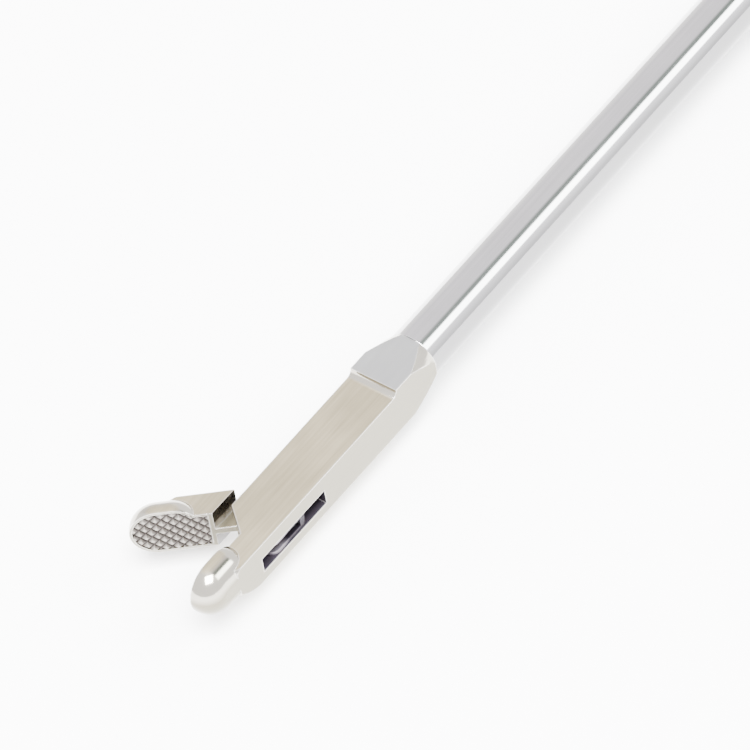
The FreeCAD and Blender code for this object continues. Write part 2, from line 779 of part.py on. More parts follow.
portX = f"({chamberRear} + dims.chamber_length / 2)"
barrelRadius = "(dims.barrel_diameter / 2)"
port = newBody("flush_port")
portSketch = newSketch(port, "XY_Plane")
portMouth = f"({barrelRadius} + dims.port_height)"
innerStep = "(dims.port_bore / 4)"
spigotFoot = "0 - dims.chamber_diameter / 2 - dims.port_spigot_back"
portFoot = f"dims.port_seat - {barrelRadius}"
waistFoot = f"{portFoot} - dims.port_base_height"
lipFoot = f"dims.port_lip_height - {portMouth}"
boreFoot = f"dims.port_bore_depth - {portMouth}"
outline(portSketch, [
    (innerStep, spigotFoot),
    ("dims.port_spigot / 2", spigotFoot),
    ("dims.port_spigot / 2", portFoot),
    ("dims.port_base / 2", portFoot),
    ("dims.port_base / 2", waistFoot),
    ("dims.port_waist / 2", waistFoot),
    ("dims.port_waist / 2", lipFoot),
    ("dims.port_lip / 2", lipFoot),
    ("dims.port_lip / 2", f"dims.port_bevel - {portMouth}"),
    ("dims.port_lip / 2 - dims.port_bevel", minus(portMouth)),
    ("dims.port_bore / 2", minus(portMouth)),
    ("dims.port_bore / 2", boreFoot),
    (innerStep, f"{boreFoot} + dims.port_cone"),
])
revolve(port, portSketch, axis="V_Axis")
place(port, portX, "0", axisHeight)

# Handle body: slotted block, barrel, arm and finger ring in one forging

fingerX = "dims.finger_ring_x"
fingerY = "dims.finger_ring_y"
fingerEndX = "(dims.finger_ring_x + dims.finger_ring_shift_x)"
fingerEndY = "(dims.finger_ring_y + dims.finger_ring_shift_y)"
fingerRadius = "(dims.finger_bore / 2)"
shiftLength = "sqrt(dims.finger_ring_shift_x ^ 2 + dims.finger_ring_shift_y ^ 2)"
alongX = f"(dims.finger_ring_shift_x / {shiftLength})"
alongY = f"(dims.finger_ring_shift_y / {shiftLength})"


def longRing(sketch, radius):
    """Two half circles joined by straight sides, for the two-finger ring."""
    def point(x, y, along, across):
        return (f"{x} + {radius} * ({along} * {alongX} + {across} * {alongY})",
                f"{y} + {radius} * ({along} * {alongY} - {across} * {alongX})")

    outline(sketch, [
        (*point(fingerX, fingerY, "0", "(0 - 1)"), radius, "left"),
        (*point(fingerX, fingerY, "(0 - 1)", "0"), radius, "left"),
        point(fingerX, fingerY, "0", "1"),
        (*point(fingerEndX, fingerEndY, "0", "1"), radius, "left"),
        (*point(fingerEndX, fingerEndY, "1", "0"), radius, "left"),
        point(fingerEndX, fingerEndY, "0", "(0 - 1)"),
    ])


def bevelledRing(label, draw, radius, low, tall):
    """Ring of its own, with every edge bevelled."""
    body = newBody(label)
    outer = newSketch(body, "XY_Plane", low)
    draw(outer, f"({radius} + dims.ring_width)")
    pad(body, outer, tall)
    inner = newSketch(body, "XY_Plane", low)
    draw(inner, radius)
    pocket(body, inner, tall)
    middle = number(low) + number(tall) / 2
    soften(body, lambda point, edge: near(abs(point.z - middle), f"{tall} / 2"), "dims.edge_bevel",
           "PartDesign::Chamfer")
    return body


def join(label, base, tool):
    whole = document.addObject("Part::Fuse", label)
    whole.Label = label
    whole.Base = base
    whole.Tool = tool
    return whole


thickness = "dims.handle_thickness"
armTop = "(dims.finger_ring_y - dims.arm_top_drop)"
handle = newBody("handle_forging")
block = newSketch(handle, "XY_Plane")
box(block, minus("dims.block_back"), minus("dims.block_top"), "dims.block_front", "dims.block_bottom")
pad(handle, block, thickness)
soften(handle, lambda point, edge: near(point.z, axisHeight)
       and (near(point.y, "dims.block_bottom") and near(point.x, minus("dims.block_back"))),
       "dims.block_corner")
arm = newSketch(handle, "XY_Plane")
outline(arm, [
    ("dims.arm_rear", "dims.arm_root"),
    ("dims.arm_front", "dims.shoulder_end"),
    ("dims.arm_front", "dims.arm_front_end", "dims.arm_front_curve", "left"),
    (f"{fingerX} + dims.arm_top_front", armTop),
    (f"{fingerX} - dims.arm_top_rear", armTop, "dims.arm_rear_curve", "right"),
    ("dims.arm_rear", "dims.arm_rear_end"),
])
pad(handle, arm, thickness)
shoulder = newSketch(handle, "XY_Plane")
shoulderRear = "dims.block_front - dims.corner_clear"
outline(shoulder, [
    (shoulderRear, minus(barrelRadius)),
    ("dims.block_front", minus(barrelRadius), "dims.shoulder_curve", "left"),
    ("dims.arm_front", "dims.shoulder_end"),
    (shoulderRear, "dims.shoulder_end"),
])
pad(handle, shoulder, thickness)
soften(handle, lambda point, edge: near(abs(point.z - number(axisHeight)), axisHeight)
       and number("dims.block_bottom") < point.y < number(armTop) - 0.1, "dims.edge_bevel",
       "PartDesign::Chamfer")
ringRoom = newSketch(handle, "XY_Plane")
longRing(ringRoom, f"({fingerRadius} + dims.ring_width / 2)")
pocket(handle, ringRoom, thickness)

barrel = newSketch(handle, "YZ_Plane", "dims.block_front - dims.barrel_root")
circle(barrel, "0", axisHeight, barrelRadius)
pad(handle, barrel, "dims.barrel_front - dims.block_front + dims.barrel_root")
for start, finish, radius in (("dims.slot_side - 1", "dims.barrel_front", rodBore),
                              (bushRear, sealRear, "(dims.bush_diameter / 2)"),
                              (sealRear, chamberRear, sealSeat),
                              (chamberRear, tubeRear, "(dims.chamber_diameter / 2)"),
                              (tubeRear, "dims.barrel_front", tubeRadius)):
    bore = newSketch(handle, "YZ_Plane", start)
    circle(bore, "0", axisHeight, radius)
    pocket(handle, bore, f"{finish} - ({start})")
portHole = newSketch(handle, "XZ_Plane")
circle(portHole, portX, axisHeight, "dims.port_spigot / 2")
pocket(handle, portHole, "dims.barrel_diameter")
portSeat = newSketch(handle, "XZ_Plane", f"{barrelRadius} - dims.port_seat")
circle(portSeat, portX, axisHeight, "dims.port_base / 2 + dims.port_seat_play")
pocket(handle, portSeat, "dims.barrel_diameter")
screwPlaces = ["(0 - dims.block_back / 2 - dims.slot_side / 2)", "(dims.slot_side + dims.cover_screw_ahead)"]
screwTip = ("(dims.block_top + dims.cover_thickness + dims.cover_head_sink"
            " - dims.cover_screw_length)")
screwHoles = newSketch(handle, "XZ_Plane", screwTip)
for x in screwPlaces:
    circle(screwHoles, x, axisHeight, "dims.cover_screw / 2")
pocket(handle, screwHoles, "dims.cover_screw_length")

yoke = newSketch(handle, "XY_Plane", yokeLow)
outline(yoke, [
    ("dims.slot_side", "0 - dims.block_top - 1"),
    ("dims.slot_side", "dims.block_bottom + 1"),
    ("0 - dims.block_back - 1", "dims.block_bottom + 1"),
    ("0 - dims.block_back - 1", "dims.rear_wall_end"),
    (minus("dims.slot_side"), "dims.rear_wall_end"),
    (minus("dims.slot_side"), "0 - dims.block_top - 1"),
])
pocket(handle, yoke, "dims.yoke_gap")
pawlPinX, pawlPinY = polar("dims.rack_inner + dims.pawl_pin_outset", "dims.pawl_pin_angle")
pawlPlaceY = f"({leverArm} + {pawlPinY})"
rackSlot = newSketch(handle, "XY_Plane", f"{axisHeight} - dims.rack_thickness / 2 - dims.rack_play")
box(rackSlot, "dims.arm_rear - 1", f"{pawlPlaceY} - dims.spring_level - dims.spring_play",
    "dims.arm_front + 1", f"{pawlPlaceY} + dims.trigger_room")
pocket(handle, rackSlot, "dims.rack_thickness + 2 * dims.rack_play")
pivotBore = newSketch(handle, "XY_Plane")
circle(pivotBore, "0", leverArm, "dims.lever_pivot / 2")
circle(pivotBore, pawlPinX, pawlPlaceY, "dims.pawl_pin / 2")
pocket(handle, pivotBore, thickness)
fingerRing = bevelledRing("finger_ring", longRing, fingerRadius, "0", thickness)
place(join("handle_body", handle, fingerRing))

# Cover plate over the rod's end, and its screws

cover = newBody("top_cover")
coverSketch = newSketch(cover, "XZ_Plane", "dims.block_top")
box(coverSketch, minus("dims.block_back"), "0", "dims.cover_front", thickness)
pad(cover, coverSketch, "dims.cover_thickness")
soften(cover, lambda point, edge: near(point.y, "0 - dims.block_top - dims.cover_thickness"),
       "dims.cover_bevel", "PartDesign::Chamfer")
coverHoles = newSketch(cover, "XZ_Plane", "dims.block_top")
for x in screwPlaces:
    circle(coverHoles, x, axisHeight, "dims.cover_screw / 2")
pocket(cover, coverHoles, "dims.cover_thickness")
coverSinks = newSketch(cover, "XZ_Plane",
                       f"{screwTip} + dims.cover_screw_length - dims.cover_head_height")
for x in screwPlaces:
    circle(coverSinks, x, axisHeight, "dims.cover_head / 2")
pocket(cover, coverSinks, "dims.cover_thickness")
place(cover)

# Thumb lever: modelled at mid stroke with its pivot at the origin, and placed open

lever = newBody("lever_forging")
leverLow = f"({axisHeight} - dims.yoke_gap / 2 + dims.yoke_play)"
leverThick = "(dims.yoke_gap - 2 * dims.yoke_play)"
thumbLow = f"({axisHeight} - dims.thumb_ring_thickness / 2)"
prong = "(dims.barrel_nut / 2 + dims.barrel_nut_play + dims.prong_wall)"
prongTop = f"(0 - {leverArm} - dims.barrel_nut / 2 - dims.prong_reach)"
thumbRadius = "(dims.thumb_bore / 2)"


def thumbCircle(sketch, radius):
    circle(sketch, minus("dims.thumb_ring_x"), "dims.thumb_ring_y", radius)


grip = newSketch(lever, "XY_Plane", thumbLow)
outline(grip, [
    (minus("dims.grip_rear"), "dims.grip_root"),
    ("dims.grip_front", "dims.grip_root", "dims.grip_front_curve", "left"),
    ("dims.grip_end_front - dims.thumb_ring_x", "dims.thumb_ring_y - dims.grip_end_front_drop"),
    ("0 - dims.thumb_ring_x - dims.grip_end_rear", "dims.thumb_ring_y - dims.grip_end_rear_drop",
     "dims.grip_rear_curve", "right"),
])
pad(lever, grip, "dims.thumb_ring_thickness")
soften(lever, lambda point, edge: near(abs(point.z - number(axisHeight)), "dims.thumb_ring_thickness / 2")
       and not near(point.y, "dims.grip_root")
       and point.y < number("dims.thumb_ring_y - dims.grip_end_rear_drop") - 0.1, "dims.edge_bevel",
       "PartDesign::Chamfer")
ringRoom = newSketch(lever, "XY_Plane", thumbLow)
thumbCircle(ringRoom, f"({thumbRadius} + dims.ring_width / 2)")
pocket(lever, ringRoom, "dims.thumb_ring_thickness")
neck = newSketch(lever, "XY_Plane", leverLow)
outline(neck, [
    (minus(prong), prongTop),
    (prong, prongTop),
    (prong, minus("dims.prong_end")),
    ("dims.neck_side", "dims.neck_level"),
    ("dims.grip_front", "dims.grip_root + dims.neck_overlap"),
    (minus("dims.grip_rear"), "dims.grip_root + dims.neck_overlap"),
    (minus("dims.neck_side"), "dims.neck_level"),
    (minus(prong), minus("dims.prong_end")),
])
pad(lever, neck, leverThick)
hub = newSketch(lever, "XY_Plane", leverLow)
circle(hub, "0", "0", "dims.lever_boss")
pad(lever, hub, leverThick)
socket = newSketch(lever, "XY_Plane", leverLow)
socketHalf = "(dims.barrel_nut / 2 + dims.barrel_nut_play)"
outline(socket, [
    (minus(socketHalf), f"{prongTop} - 1"),
    (minus(socketHalf), minus(leverArm), socketHalf, "right"),
    ("0", f"{socketHalf} - {leverArm}", socketHalf, "right"),
    (socketHalf, minus(leverArm)),
    (socketHalf, f"{prongTop} - 1"),
])
pocket(lever, socket, leverThick)
neckSlot = newSketch(lever, "YZ_Plane")
neckHalf = f"({rodRadius} + dims.neck_play)"
neckFoot = f"({prong} * sin(dims.lever_swing / 2) - {leverArm})"
outline(neckSlot, [
    (f"{prongTop} - 1", f"{axisHeight} - {neckHalf}"),
    (neckFoot, f"{axisHeight} - {neckHalf}", neckHalf, "left"),
    (f"{neckHalf} + {neckFoot}", axisHeight, neckHalf, "left"),
    (neckFoot, f"{axisHeight} + {neckHalf}"),
    (f"{prongTop} - 1", f"{axisHeight} + {neckHalf}"),
])
pocket(lever, neckSlot, f"{prong} + 1")
leverBore = newSketch(lever, "XY_Plane")
circle(leverBore, "0", "0", "dims.lever_pivot / 2 + dims.pin_play")
pocket(lever, leverBore, thickness)


def placeWithLever(piece):
    place(piece, "0", leverArm, "0", "dims.lever_swing / 2")


# Ratchet rack: a curved bar about the lever pivot, with teeth on its inner side

rackLow = f"({axisHeight} - dims.rack_thickness / 2)"
rackOuter = "(dims.rack_inner + dims.rack_width)"
rivetRadius = "(dims.rivet_diameter / 2)"


def rackPoint(radius, angle):
    """Point of the rack, its angle stated for the open lever."""
    return polar(radius, f"{angle} + dims.lever_swing / 2")


rack = newBody("ratchet_rack")
band = newSketch(rack, "XY_Plane", rackLow)
firstGap = "(dims.pawl_angle - dims.lever_swing)"
corners = [
    (*rackPoint("dims.rack_inner", "dims.rack_start"), "dims.rack_inner", "right"),
    rackPoint("dims.rack_inner", f"{firstGap} - dims.tooth_lead * dims.tooth_pitch"),
]
rootRadius = "dims.rack_inner + dims.tooth_depth"
for tooth in range(rackTeeth):
    gapAngle = f"{firstGap} + {tooth} * dims.tooth_pitch"
    corners.append(rackPoint(rootRadius, f"{gapAngle} - dims.gap_rear * dims.tooth_pitch"))
    corners.append(rackPoint(rootRadius, f"{gapAngle} + dims.gap_front * dims.tooth_pitch"))
    corners.append(rackPoint("dims.rack_inner", f"{gapAngle} + dims.gap_slope * dims.tooth_pitch"))
corners.append(rackPoint("dims.rack_inner", "dims.rack_finish"))
corners.append((*rackPoint(rackOuter, "dims.rack_finish"), rackOuter, "left"))
corners.append(rackPoint(rackOuter, "dims.rack_start"))
outline(band, corners)
pad(rack, band, "dims.rack_thickness")
rivetPlaces = [polar("dims.rack_inner + dims.rack_width / 2", angle)
               for angle in ("dims.rivet_rear", "dims.rivet_front")]
rivetHoles = newSketch(rack, "XY_Plane", rackLow)
for x, y in rivetPlaces:
    circle(rivetHoles, x, y, rivetRadius)
pocket(rack, rivetHoles, "dims.rack_thickness")
placeWithLever(rack)

rackSeat = newSketch(lever, "XY_Plane", rackLow)
outline(rackSeat, [
    (*polar("dims.rack_inner", "dims.rack_start + dims.lever_swing / 2"), "dims.rack_inner", "right"),
    polar("dims.rack_inner", "dims.rack_seat_end"),
    (*polar(rackOuter, "dims.rack_seat_end"), rackOuter, "left"),
    polar(rackOuter, "dims.rack_start + dims.lever_swing / 2"),
])
pocket(lever, rackSeat, "dims.rack_thickness")
rivetHoles = newSketch(lever, "XY_Plane")
for x, y in rivetPlaces:
    circle(rivetHoles, x, y, rivetRadius)
pocket(lever, rivetHoles, thickness)
thumbRing = bevelledRing("thumb_ring", thumbCircle, thumbRadius, thumbLow, "dims.thumb_ring_thickness")
placeWithLever(join("thumb_lever", lever, thumbRing))

# Pawl with its release trigger, modelled engaged with its pin at the origin, and placed released

pawl = newBody("ratchet_pawl")


def pawlPoint(radius, angle):
    x, y = polar(radius, angle)
    return f"{x} - {pawlPinX}", f"{y} - {pawlPinY}"


hub = newSketch(pawl, "XY_Plane", rackLow)
circle(hub, "0", "0", "dims.pawl_boss / 2")
pad(pawl, hub, "dims.rack_thickness")
finger = newSketch(pawl, "XY_Plane", rackLow)
toothFoot = "dims.rack_inner - dims.pawl_clear"
toothTip = "dims.rack_inner + dims.pawl_tooth"
outline(finger, [
    pawlPoint("dims.rack_inner + dims.pawl_root_high", "dims.pawl_pin_angle - dims.pawl_belly_angle"),
    pawlPoint(toothFoot, "dims.pawl_angle + dims.pawl_waist_angle"),
    pawlPoint(toothFoot, "dims.pawl_angle + dims.pawl_tooth_front"),
    pawlPoint(toothTip, "dims.pawl_angle + dims.pawl_tooth_edge"),
    pawlPoint(toothTip, "dims.pawl_angle - dims.pawl_tooth_rear"),
    pawlPoint(toothFoot, "dims.pawl_angle - dims.pawl_tooth_foot"),
    pawlPoint("dims.rack_inner - dims.pawl_nose", "dims.pawl_angle - dims.pawl_nose_angle"),
    pawlPoint("dims.rack_inner - dims.pawl_belly", "dims.pawl_angle - dims.pawl_belly_angle"),
    pawlPoint("dims.rack_inner - dims.pawl_waist", "dims.pawl_angle + dims.pawl_waist_angle"),
    pawlPoint("dims.rack_inner - dims.pawl_root_low", "dims.pawl_pin_angle + dims.pawl_tooth_front"),
])
pad(pawl, finger, "dims.rack_thickness")
trigger = newSketch(pawl, "XY_Plane", rackLow)
outline(trigger, [
    (minus("dims.trigger_root"), minus("dims.trigger_root_drop")),
    ("dims.trigger_side", minus("dims.trigger_side_drop"), "dims.trigger_curve", "left"),
    ("dims.trigger_front", "dims.trigger_front_rise", "dims.trigger_front_curve", "right"),
    ("dims.trigger_tip", "dims.trigger_tip_rise"),
    ("dims.trigger_tip_rear", "dims.trigger_tip_rise", "dims.trigger_back_curve", "left"),
    ("dims.trigger_back", "dims.trigger_back_rise", "dims.trigger_inner_curve", "right"),
    ("dims.trigger_inner", "dims.trigger_inner_rise"),
])
pad(pawl, trigger, "dims.rack_thickness")
pawlBore = newSketch(pawl, "XY_Plane", rackLow)
circle(pawlBore, "0", "0", "dims.pawl_pin / 2 + dims.pin_play")
pocket(pawl, pawlBore, "dims.rack_thickness")
place(pawl, pawlPinX, pawlPlaceY, "0", "dims.pawl_lift")

# Pins, rivets and screws

def plainPin(label, radius, x, y, low, length):
    pin = document.addObject("Part::Cylinder", label)
    pin.Label = label
    pin.setExpression("Radius", radius)
    pin.setExpression("Height", length)
    place(pin, x, y, low)
    return pin


plainPin("pawl_pin", "dims.pawl_pin / 2", pawlPinX, pawlPlaceY, "dims.pin_sink",
         f"{thickness} - 2 * dims.pin_sink")

rivets = document.addObject("Part::Compound", "rack_rivets")
rivets.Label = "rack_rivets"
rivets.Links = [plainPin(f"rivet_{index}", rivetRadius, x, y, thumbLow, "dims.thumb_ring_thickness")
                for index, (x, y) in enumerate(rivetPlaces)]
placeWithLever(rivets)


def screw(label, stemRadius, headRadius, headHeight, length):
    """Slotted screw along Z, with the flat of its head at the top and its tip at zero."""
    stem = plainPin(label + "_stem", stemRadius, "0", "0", "0", f"{length} - {headHeight}")
    cap = plainPin(label + "_cap", headRadius, "0", "0", f"{length} - {headHeight}", headHeight)
    whole = document.addObject("Part::Fuse", label + "_whole")
    whole.Base = stem
    whole.Tool = cap
    kerf = document.addObject("Part::Box", label + "_kerf")
    kerf.setExpression("Length", f"4 * {headRadius}")
    kerf.setExpression("Width", f"{headRadius} / 3")
    kerf.setExpression("Height", headHeight)
    place(kerf, f"0 - 2 * {headRadius}", f"0 - {headRadius} / 6", f"{length} - {headHeight} * 0.5")
    piece = document.addObject("Part::Cut", label)
    piece.Base = whole
    piece.Tool = kerf
    piece.Label = label
    return piece


pivotScrew = screw("lever_pivot_screw", "(dims.lever_pivot / 2)", "(dims.pivot_head / 2)",
                   "dims.pivot_head_height", f"({thickness} + dims.pivot_head_proud)")
place(pivotScrew, "0", leverArm, "dims.pin_sink")

coverScrews = document.addObject("Part::Compound", "cover_screws")
coverScrews.Label = "cover_screws"
coverLinks = []
for index, x in enumerate(screwPlaces):
    piece = screw(f"cover_screw_{index}", "(dims.cover_screw / 2)", "(dims.cover_head / 2)",
                  "dims.cover_head_height", "dims.cover_screw_length")
    turned = FreeCAD.Rotation(FreeCAD.Vector(1, 0, 0), 90)
    piece.Placement = FreeCAD.Placement(FreeCAD.Vector(0, 0, 0), turned)
    piece.setExpression("Placement.Base.x", x)
    piece.setExpression("Placement.Base.y", minus(screwTip))
    piece.setExpression("Placement.Base.z", axisHeight)
    coverLinks.append(piece)
coverScrews.Links = coverLinks

# Leaf spring of the pawl

spring = newBody("pawl_spring")
leaf = newSketch(spring, "XY_Plane", rackLow)
outline(leaf, [
    ("dims.spring_foot", minus("dims.spring_level")),
    ("dims.spring_foot", "dims.spring_leaf - dims.spring_level"),
    (minus("dims.spring_bend"), "dims.spring_leaf - dims.spring_level"),
    (minus("dims.spring_reach"), "dims.spring_leaf - dims.spring_level + dims.spring_rise"),
    ("0 - dims.spring_reach - dims.spring_leaf", "dims.spring_rise - dims.spring_level"),
    ("0 - dims.spring_bend - dims.spring_leaf", minus("dims.spring_level")),
])
pad(spring, leaf, "dims.rack_thickness")
place(spring, pawlPinX, pawlPlaceY)

# Write each piece to its own file

nodes = ["jaw_head", "fixed_jaw_insert", "moving_jaw", "moving_jaw_insert", "jaw_pivot_pin", "drive_pin",
         "pull_rod", "rod_barrel_nut", "shaft_tube", "rod_guide_bush", "rear_rod_bush", "rod_seal",
         "union_nut", "flush_port", "handle_body", "top_cover", "cover_screws", "thumb_lever",
         "lever_pivot_screw", "ratchet_rack", "rack_rivets", "ratchet_pawl", "pawl_pin", "pawl_spring"]

document.recompute()
for item in document.Objects:
    if "Invalid" in item.State or "Error" in item.State:
        raise RuntimeError("failed: " + item.Label)
pieces = {item.Label: item for item in document.Objects if item.Label in nodes}
for name in nodes:
    shape = pieces[name].Shape
    if shape.isNull() or not shape.isValid():
        raise RuntimeError("no valid shape: " + name)
for name in nodes:
    shape = pieces[name].Shape
    shape.exportStep("parts/" + name + ".step")
    print(f"{name}: {len(shape.Solids)} solid, {shape.Volume:.2f} mm3")
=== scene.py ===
import bpy
import json
from math import atan2, cos, radians, sin
from mathutils import Matrix, Vector


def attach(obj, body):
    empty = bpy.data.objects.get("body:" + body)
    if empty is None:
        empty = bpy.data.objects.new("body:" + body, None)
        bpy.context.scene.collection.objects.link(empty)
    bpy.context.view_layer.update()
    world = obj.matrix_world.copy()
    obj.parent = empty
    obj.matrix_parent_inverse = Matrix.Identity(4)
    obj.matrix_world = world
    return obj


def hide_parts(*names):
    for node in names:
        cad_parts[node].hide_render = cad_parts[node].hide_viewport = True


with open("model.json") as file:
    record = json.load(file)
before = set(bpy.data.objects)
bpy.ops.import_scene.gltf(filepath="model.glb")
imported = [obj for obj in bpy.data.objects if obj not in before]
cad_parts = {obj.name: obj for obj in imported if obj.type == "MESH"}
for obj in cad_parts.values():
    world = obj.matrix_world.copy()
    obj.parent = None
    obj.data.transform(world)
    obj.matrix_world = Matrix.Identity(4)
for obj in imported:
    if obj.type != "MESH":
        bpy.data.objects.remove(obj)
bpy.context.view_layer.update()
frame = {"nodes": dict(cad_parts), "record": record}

millimetre = 0.001
nodes = frame["nodes"]
bodyOf = {node: body for body, held in frame["record"]["behaviour"]["bodies"].items() for node in held}
slotOf = {row["node"]: row["material_slot"] for row in frame["record"]["subparts"]}


# Shader helpers

def addNode(tree, kind, inputs=None, **settings):
    node = tree.nodes.new(kind)
    for key, value in settings.items():
        setattr(node, key, value)
    for key, value in (inputs or {}).items():
        if isinstance(value, bpy.types.NodeSocket):
            tree.links.new(value, node.inputs[key])
        else:
            node.inputs[key].default_value = value
    return node


def maths(tree, operation, first, second=0.0):
    return addNode(tree, "ShaderNodeMath", {0: first, 1: second}, operation=operation).outputs[0]


def span(tree, value, low, high, toLow=0.0, toHigh=1.0):
    return addNode(tree, "ShaderNodeMapRange", {"Value": value, "From Min": low, "From Max": high,
                                                "To Min": toLow, "To Max": toHigh}).outputs["Result"]


def blend(tree, factor, first, second):                       # a colour is a socket or three plain values
    ends = {"A": first, "B": second}
    ends = {key: (*end, 1.0) if isinstance(end, tuple) else end for key, end in ends.items()}
    return addNode(tree, "ShaderNodeMix", {"Factor": factor, **ends}, data_type="RGBA").outputs["Result"]


grainMix = {"detail": 3.0, "rough": 0.6, "cloudDetail": 2.0, "grain": 0.6, "cloud": 0.4, "low": 0.35, "high": 0.65}
grainInputs = (("Scale", "NodeSocketVector", (1, 1, 1)), ("Low", "NodeSocketFloat", 0.2),
               ("High", "NodeSocketFloat", 0.4), ("Cloud", "NodeSocketFloat", 160.0))


# Cloudy tone, roughness and fine grain height, stretched by the given scale
def makeGrainGroup():
    group = bpy.data.node_groups.new("steelGrain", "ShaderNodeTree")
    for name, kind, start in grainInputs:
        socket = group.interface.new_socket(name, in_out="INPUT", socket_type=kind)
        socket.default_value = start
    for name in ("Tone", "Roughness", "Height"):
        group.interface.new_socket(name, in_out="OUTPUT", socket_type="NodeSocketFloat")
    entry = group.nodes.new("NodeGroupInput")
    leave = group.nodes.new("NodeGroupOutput")
    place = addNode(group, "ShaderNodeTexCoord").outputs["Object"]
    stretched = addNode(group, "ShaderNodeVectorMath", {0: place, 1: entry.outputs["Scale"]},
                        operation="MULTIPLY").outputs[0]
    grain = addNode(group, "ShaderNodeTexNoise", {"Vector": stretched, "Scale": 1.0, "Detail": grainMix["detail"],
                                                  "Roughness": grainMix["rough"]}).outputs["Fac"]
    cloud = addNode(group, "ShaderNodeTexNoise", {"Vector": place, "Scale": entry.outputs["Cloud"],
                                                  "Detail": grainMix["cloudDetail"]}).outputs["Fac"]
    mixed = maths(group, "ADD", maths(group, "MULTIPLY", grain, grainMix["grain"]),
                  maths(group, "MULTIPLY", cloud, grainMix["cloud"]))
    tone = span(group, mixed, grainMix["low"], grainMix["high"])
    rough = span(group, tone, 0.0, 1.0, entry.outputs["Low"], entry.outputs["High"])
    group.links.new(tone, leave.inputs["Tone"])
    group.links.new(rough, leave.inputs["Roughness"])
    group.links.new(grain, leave.inputs["Height"])
    return group


edgeWearAndHighlight = {"radius": 0.0002, "samples": 4, "open": 1.0, "rubbedAndLit": 0.85}


# How near the surface is to an edge: 0 on open faces, 1 on the edge
def makeEdgeGroup():
    group = bpy.data.node_groups.new("edgeWearAndHighlight", "ShaderNodeTree")
    socket = group.interface.new_socket("Radius", in_out="INPUT", socket_type="NodeSocketFloat")
    socket.default_value = edgeWearAndHighlight["radius"]
    group.interface.new_socket("Edge", in_out="OUTPUT", socket_type="NodeSocketFloat")
    entry = group.nodes.new("NodeGroupInput")
    leave = group.nodes.new("NodeGroupOutput")
    rounded = addNode(group, "ShaderNodeBevel", {"Radius": entry.outputs["Radius"]},
                      samples=edgeWearAndHighlight["samples"]).outputs[0]
    plain = addNode(group, "ShaderNodeNewGeometry").outputs["Normal"]
    match = addNode(group, "ShaderNodeVectorMath", {0: rounded, 1: plain}, operation="DOT_PRODUCT")
    edge = span(group, match.outputs["Value"], edgeWearAndHighlight["open"], edgeWearAndHighlight["rubbedAndLit"])
    group.links.new(edge, leave.inputs["Edge"])
    return group


grainGroup = makeGrainGroup()
edgeGroup = makeEdgeGroup()


# How far the normal's Z part counts as a flat (upright) or a straight side (level), and the collar's soft border
turning = {"upright": (0.93, 0.995), "level": (0.1, 0.02), "collarFade": 0.0001}


# Colour, roughness and relief come from the grain, with brighter edges that are partly rubbed wear and partly
# painted highlight
def makeMetal(name, look):
    material = bpy.data.materials.new(name)
    material.use_nodes = True
    tree = material.node_tree
    tree.nodes.clear()
    low, high = look["rough"]
    grain = addNode(tree, "ShaderNodeGroup", {"Scale": look["grain"], "Low": low, "High": high},
                    node_tree=grainGroup)
    wearAndHighlight = addNode(tree, "ShaderNodeGroup", {"Radius": look["edge"]}, node_tree=edgeGroup)
    colour = blend(tree, grain.outputs["Tone"], look["dark"], look["light"])
    rough = grain.outputs["Roughness"]
    place = addNode(tree, "ShaderNodeTexCoord").outputs["Object"]
    normal = addNode(tree, "ShaderNodeNewGeometry").outputs["Normal"]
    upward = addNode(tree, "ShaderNodeSeparateXYZ", {0: normal}).outputs["Z"]
    if "side" in look:                                        # painted shade: sides and undersides take darker base colours than the tops
        lower = span(tree, upward, *look["lower"])
        paintedFacingShade = blend(tree, lower, look.get("round", colour), look["side"])
    if "side" in look and "polish" not in look:
        colour = paintedFacingShade
    if "polish" in look:                                      # rounded faces are polished, flats stay milled; rounded faces and sides keep the painted shade tones
        steepness = maths(tree, "ABSOLUTE", upward)
        upright = span(tree, steepness, *turning["upright"])
        flat = maths(tree, "MAXIMUM", upright, span(tree, steepness, *turning["level"]))
        rough = addNode(tree, "ShaderNodeMix", {"Factor": flat, "A": look["polish"], "B": rough},
                        data_type="FLOAT").outputs["Result"]
        at = addNode(tree, "ShaderNodeSeparateXYZ", {0: place})
        collar = span(tree, at.outputs["X"], look["collar"] + turning["collarFade"], look["collar"])
        colour = blend(tree, upright, paintedFacingShade, blend(tree, collar, colour, look["collarTone"]))
        inside = 1.0
        for axis, (near, far) in zip("XYZ", look["window"]):  # painted shade: the inside of the window takes a near-black base colour
            inside = maths(tree, "MULTIPLY", maths(tree, "GREATER_THAN", at.outputs[axis], near), inside)
            inside = maths(tree, "MULTIPLY", maths(tree, "LESS_THAN", at.outputs[axis], far), inside)
        colour = blend(tree, inside, colour, look["inner"])
        rough = addNode(tree, "ShaderNodeMix", {"Factor": inside, "A": rough, "B": look["innerRough"]},
                        data_type="FLOAT").outputs["Result"]
    # Edges take the bright colour: partly rubbed wear, partly painted highlight
    rubbedAndLit = maths(tree, "MULTIPLY", wearAndHighlight.outputs["Edge"], look["wearAndHighlight"])
    colour = blend(tree, rubbedAndLit, colour, look["bright"])
    if "face" in look:                                        # painted shade: darker with depth below the given face
        height = addNode(tree, "ShaderNodeVectorMath", {0: place, 1: look["face"]},
                         operation="DOT_PRODUCT").outputs["Value"]
        shallow, deep = look["shade"]
        depth = span(tree, height, look["level"] - shallow, look["level"] - deep)
        colour = blend(tree, depth, colour, look["paintedShade"])
    bump = addNode(tree, "ShaderNodeBump", {"Height": grain.outputs["Height"], "Strength": look["relief"],
                                            "Distance": look["depth"]})
    shader = addNode(tree, "ShaderNodeBsdfPrincipled", {"Base Color": colour, "Roughness": rough,
                                                        "Metallic": look["metal"], "Normal": bump.outputs[0]})
    addNode(tree, "ShaderNodeOutputMaterial", {"Surface": shader.outputs[0]})
    return material


